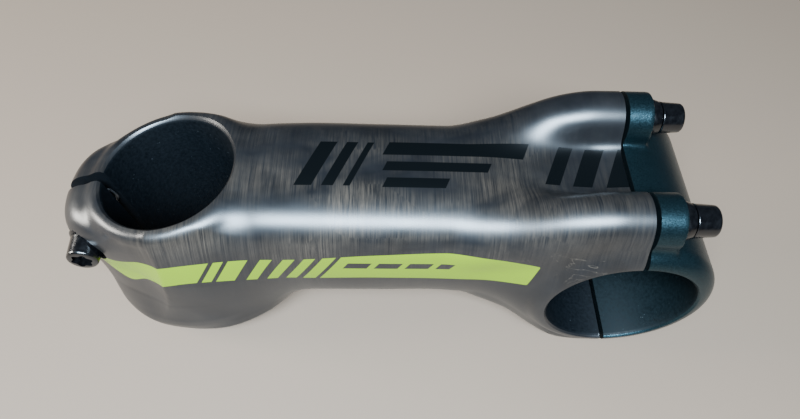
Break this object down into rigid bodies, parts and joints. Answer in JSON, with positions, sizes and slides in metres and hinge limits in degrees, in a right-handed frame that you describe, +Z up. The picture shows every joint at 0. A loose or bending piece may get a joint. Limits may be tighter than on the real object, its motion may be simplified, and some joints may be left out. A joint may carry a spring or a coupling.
{
  "type": "handlebar stem",
  "caption": "Bicycle handlebar stem of moulded carbon: a split steerer clamp with crossed pinch bolts and a bolted alloy faceplate for the handlebar.",
  "frame": {"origin": "centre of the bounding box at the surface the stem lies on", "axes": "+X forwards along the extension to the handlebar clamp, +Y to the rider's left, +Z up from the surface"},
  "size_m": [0.1422, 0.043, 0.057],
  "materials": {
    "carbon": "satin clear coat over charcoal carbon fibre",
    "faceplate_alloy": "dark teal fine-blasted anodising",
    "black_steel": "gloss black plated steel",
    "insert_alloy": "plain turned"
  },
  "bodies": {
    "stem": {"stem_body": "carbon", "faceplate_insert_upper_right": "insert_alloy", "faceplate_insert_upper_left": "insert_alloy", "faceplate_insert_lower_right": "insert_alloy", "faceplate_insert_lower_left": "insert_alloy", "pinch_insert_upper": "insert_alloy", "pinch_insert_lower": "insert_alloy"},
    "faceplate": {"faceplate": "faceplate_alloy"},
    "faceplate_washer_upper_right": {"faceplate_washer_upper_right": "black_steel"},
    "faceplate_bolt_upper_right": {"faceplate_bolt_upper_right": "black_steel"},
    "faceplate_washer_upper_left": {"faceplate_washer_upper_left": "black_steel"},
    "faceplate_bolt_upper_left": {"faceplate_bolt_upper_left": "black_steel"},
    "faceplate_washer_lower_right": {"faceplate_washer_lower_right": "black_steel"},
    "faceplate_bolt_lower_right": {"faceplate_bolt_lower_right": "black_steel"},
    "faceplate_washer_lower_left": {"faceplate_washer_lower_left": "black_steel"},
    "faceplate_bolt_lower_left": {"faceplate_bolt_lower_left": "black_steel"},
    "pinch_washer_upper": {"pinch_washer_upper": "black_steel"},
    "pinch_bolt_upper": {"pinch_bolt_upper": "black_steel"},
    "pinch_washer_lower": {"pinch_washer_lower": "black_steel"},
    "pinch_bolt_lower": {"pinch_bolt_lower": "black_steel"}
  },
  "joints": [
    {"name": "faceplate_slide", "type": "slide", "parent": "stem", "child": "faceplate", "axis": [0.9988, 0, 0.0482], "range_m": [0, 0.03]},
    {"name": "faceplate_washer_upper_right_slide", "type": "slide", "parent": "faceplate", "child": "faceplate_washer_upper_right", "axis": [0.9988, 0, 0.0482], "range_m": [0, 0.008]},
    {"name": "faceplate_bolt_upper_right_turn", "type": "hinge", "parent": "faceplate_washer_upper_right", "child": "faceplate_bolt_upper_right", "pos_m": [0.05502, -0.0138, 0.05144], "axis": [0.9988, 0, 0.0482], "range_deg": [0, 3610]},
    {"name": "faceplate_washer_upper_left_slide", "type": "slide", "parent": "faceplate", "child": "faceplate_washer_upper_left", "axis": [0.9988, 0, 0.0482], "range_m": [0, 0.008]},
    {"name": "faceplate_bolt_upper_left_turn", "type": "hinge", "parent": "faceplate_washer_upper_left", "child": "faceplate_bolt_upper_left", "pos_m": [0.05502, 0.0138, 0.05144], "axis": [0.9988, 0, 0.0482], "range_deg": [0, 3610]},
    {"name": "faceplate_washer_lower_right_slide", "type": "slide", "parent": "faceplate", "child": "faceplate_washer_lower_right", "axis": [0.9988, 0, 0.0482], "range_m": [0, 0.008]},
    {"name": "faceplate_bolt_lower_right_turn", "type": "hinge", "parent": "faceplate_washer_lower_right", "child": "faceplate_bolt_lower_right", "pos_m": [0.05725, -0.0138, 0.00509], "axis": [0.9988, 0, 0.0482], "range_deg": [0, 3610]},
    {"name": "faceplate_washer_lower_left_slide", "type": "slide", "parent": "faceplate", "child": "faceplate_washer_lower_left", "axis": [0.9988, 0, 0.0482], "range_m": [0, 0.008]},
    {"name": "faceplate_bolt_lower_left_turn", "type": "hinge", "parent": "faceplate_washer_lower_left", "child": "faceplate_bolt_lower_left", "pos_m": [0.05725, 0.0138, 0.00509], "axis": [0.9988, 0, 0.0482], "range_deg": [0, 3610]},
    {"name": "pinch_washer_upper_slide", "type": "slide", "parent": "stem", "child": "pinch_washer_upper", "axis": [0, -1, 0], "range_m": [0, 0.008]},
    {"name": "pinch_bolt_upper_turn", "type": "hinge", "parent": "pinch_washer_upper", "child": "pinch_bolt_upper", "pos_m": [-0.06494, -0.009, 0.02967], "axis": [0, -1, 0], "range_deg": [0, 3610]},
    {"name": "pinch_washer_lower_slide", "type": "slide", "parent": "stem", "child": "pinch_washer_lower", "axis": [0, 1, 0], "range_m": [0, 0.008]},
    {"name": "pinch_bolt_lower_turn", "type": "hinge", "parent": "pinch_washer_lower", "child": "pinch_bolt_lower", "pos_m": [-0.06022, 0.009, 0.0088], "axis": [0, 1, 0], "range_deg": [0, 3610]}
  ],
  "couplings": [
    {"joint": "faceplate_bolt_upper_right_turn", "follows": "faceplate_washer_upper_right_slide", "rad_per_m": 7854},
    {"joint": "faceplate_bolt_upper_left_turn", "follows": "faceplate_washer_upper_left_slide", "rad_per_m": 7854},
    {"joint": "faceplate_bolt_lower_right_turn", "follows": "faceplate_washer_lower_right_slide", "rad_per_m": 7854},
    {"joint": "faceplate_bolt_lower_left_turn", "follows": "faceplate_washer_lower_left_slide", "rad_per_m": 7854},
    {"joint": "pinch_bolt_upper_turn", "follows": "pinch_washer_upper_slide", "rad_per_m": 7854},
    {"joint": "pinch_bolt_lower_turn", "follows": "pinch_washer_lower_slide", "rad_per_m": 7854}
  ]
}
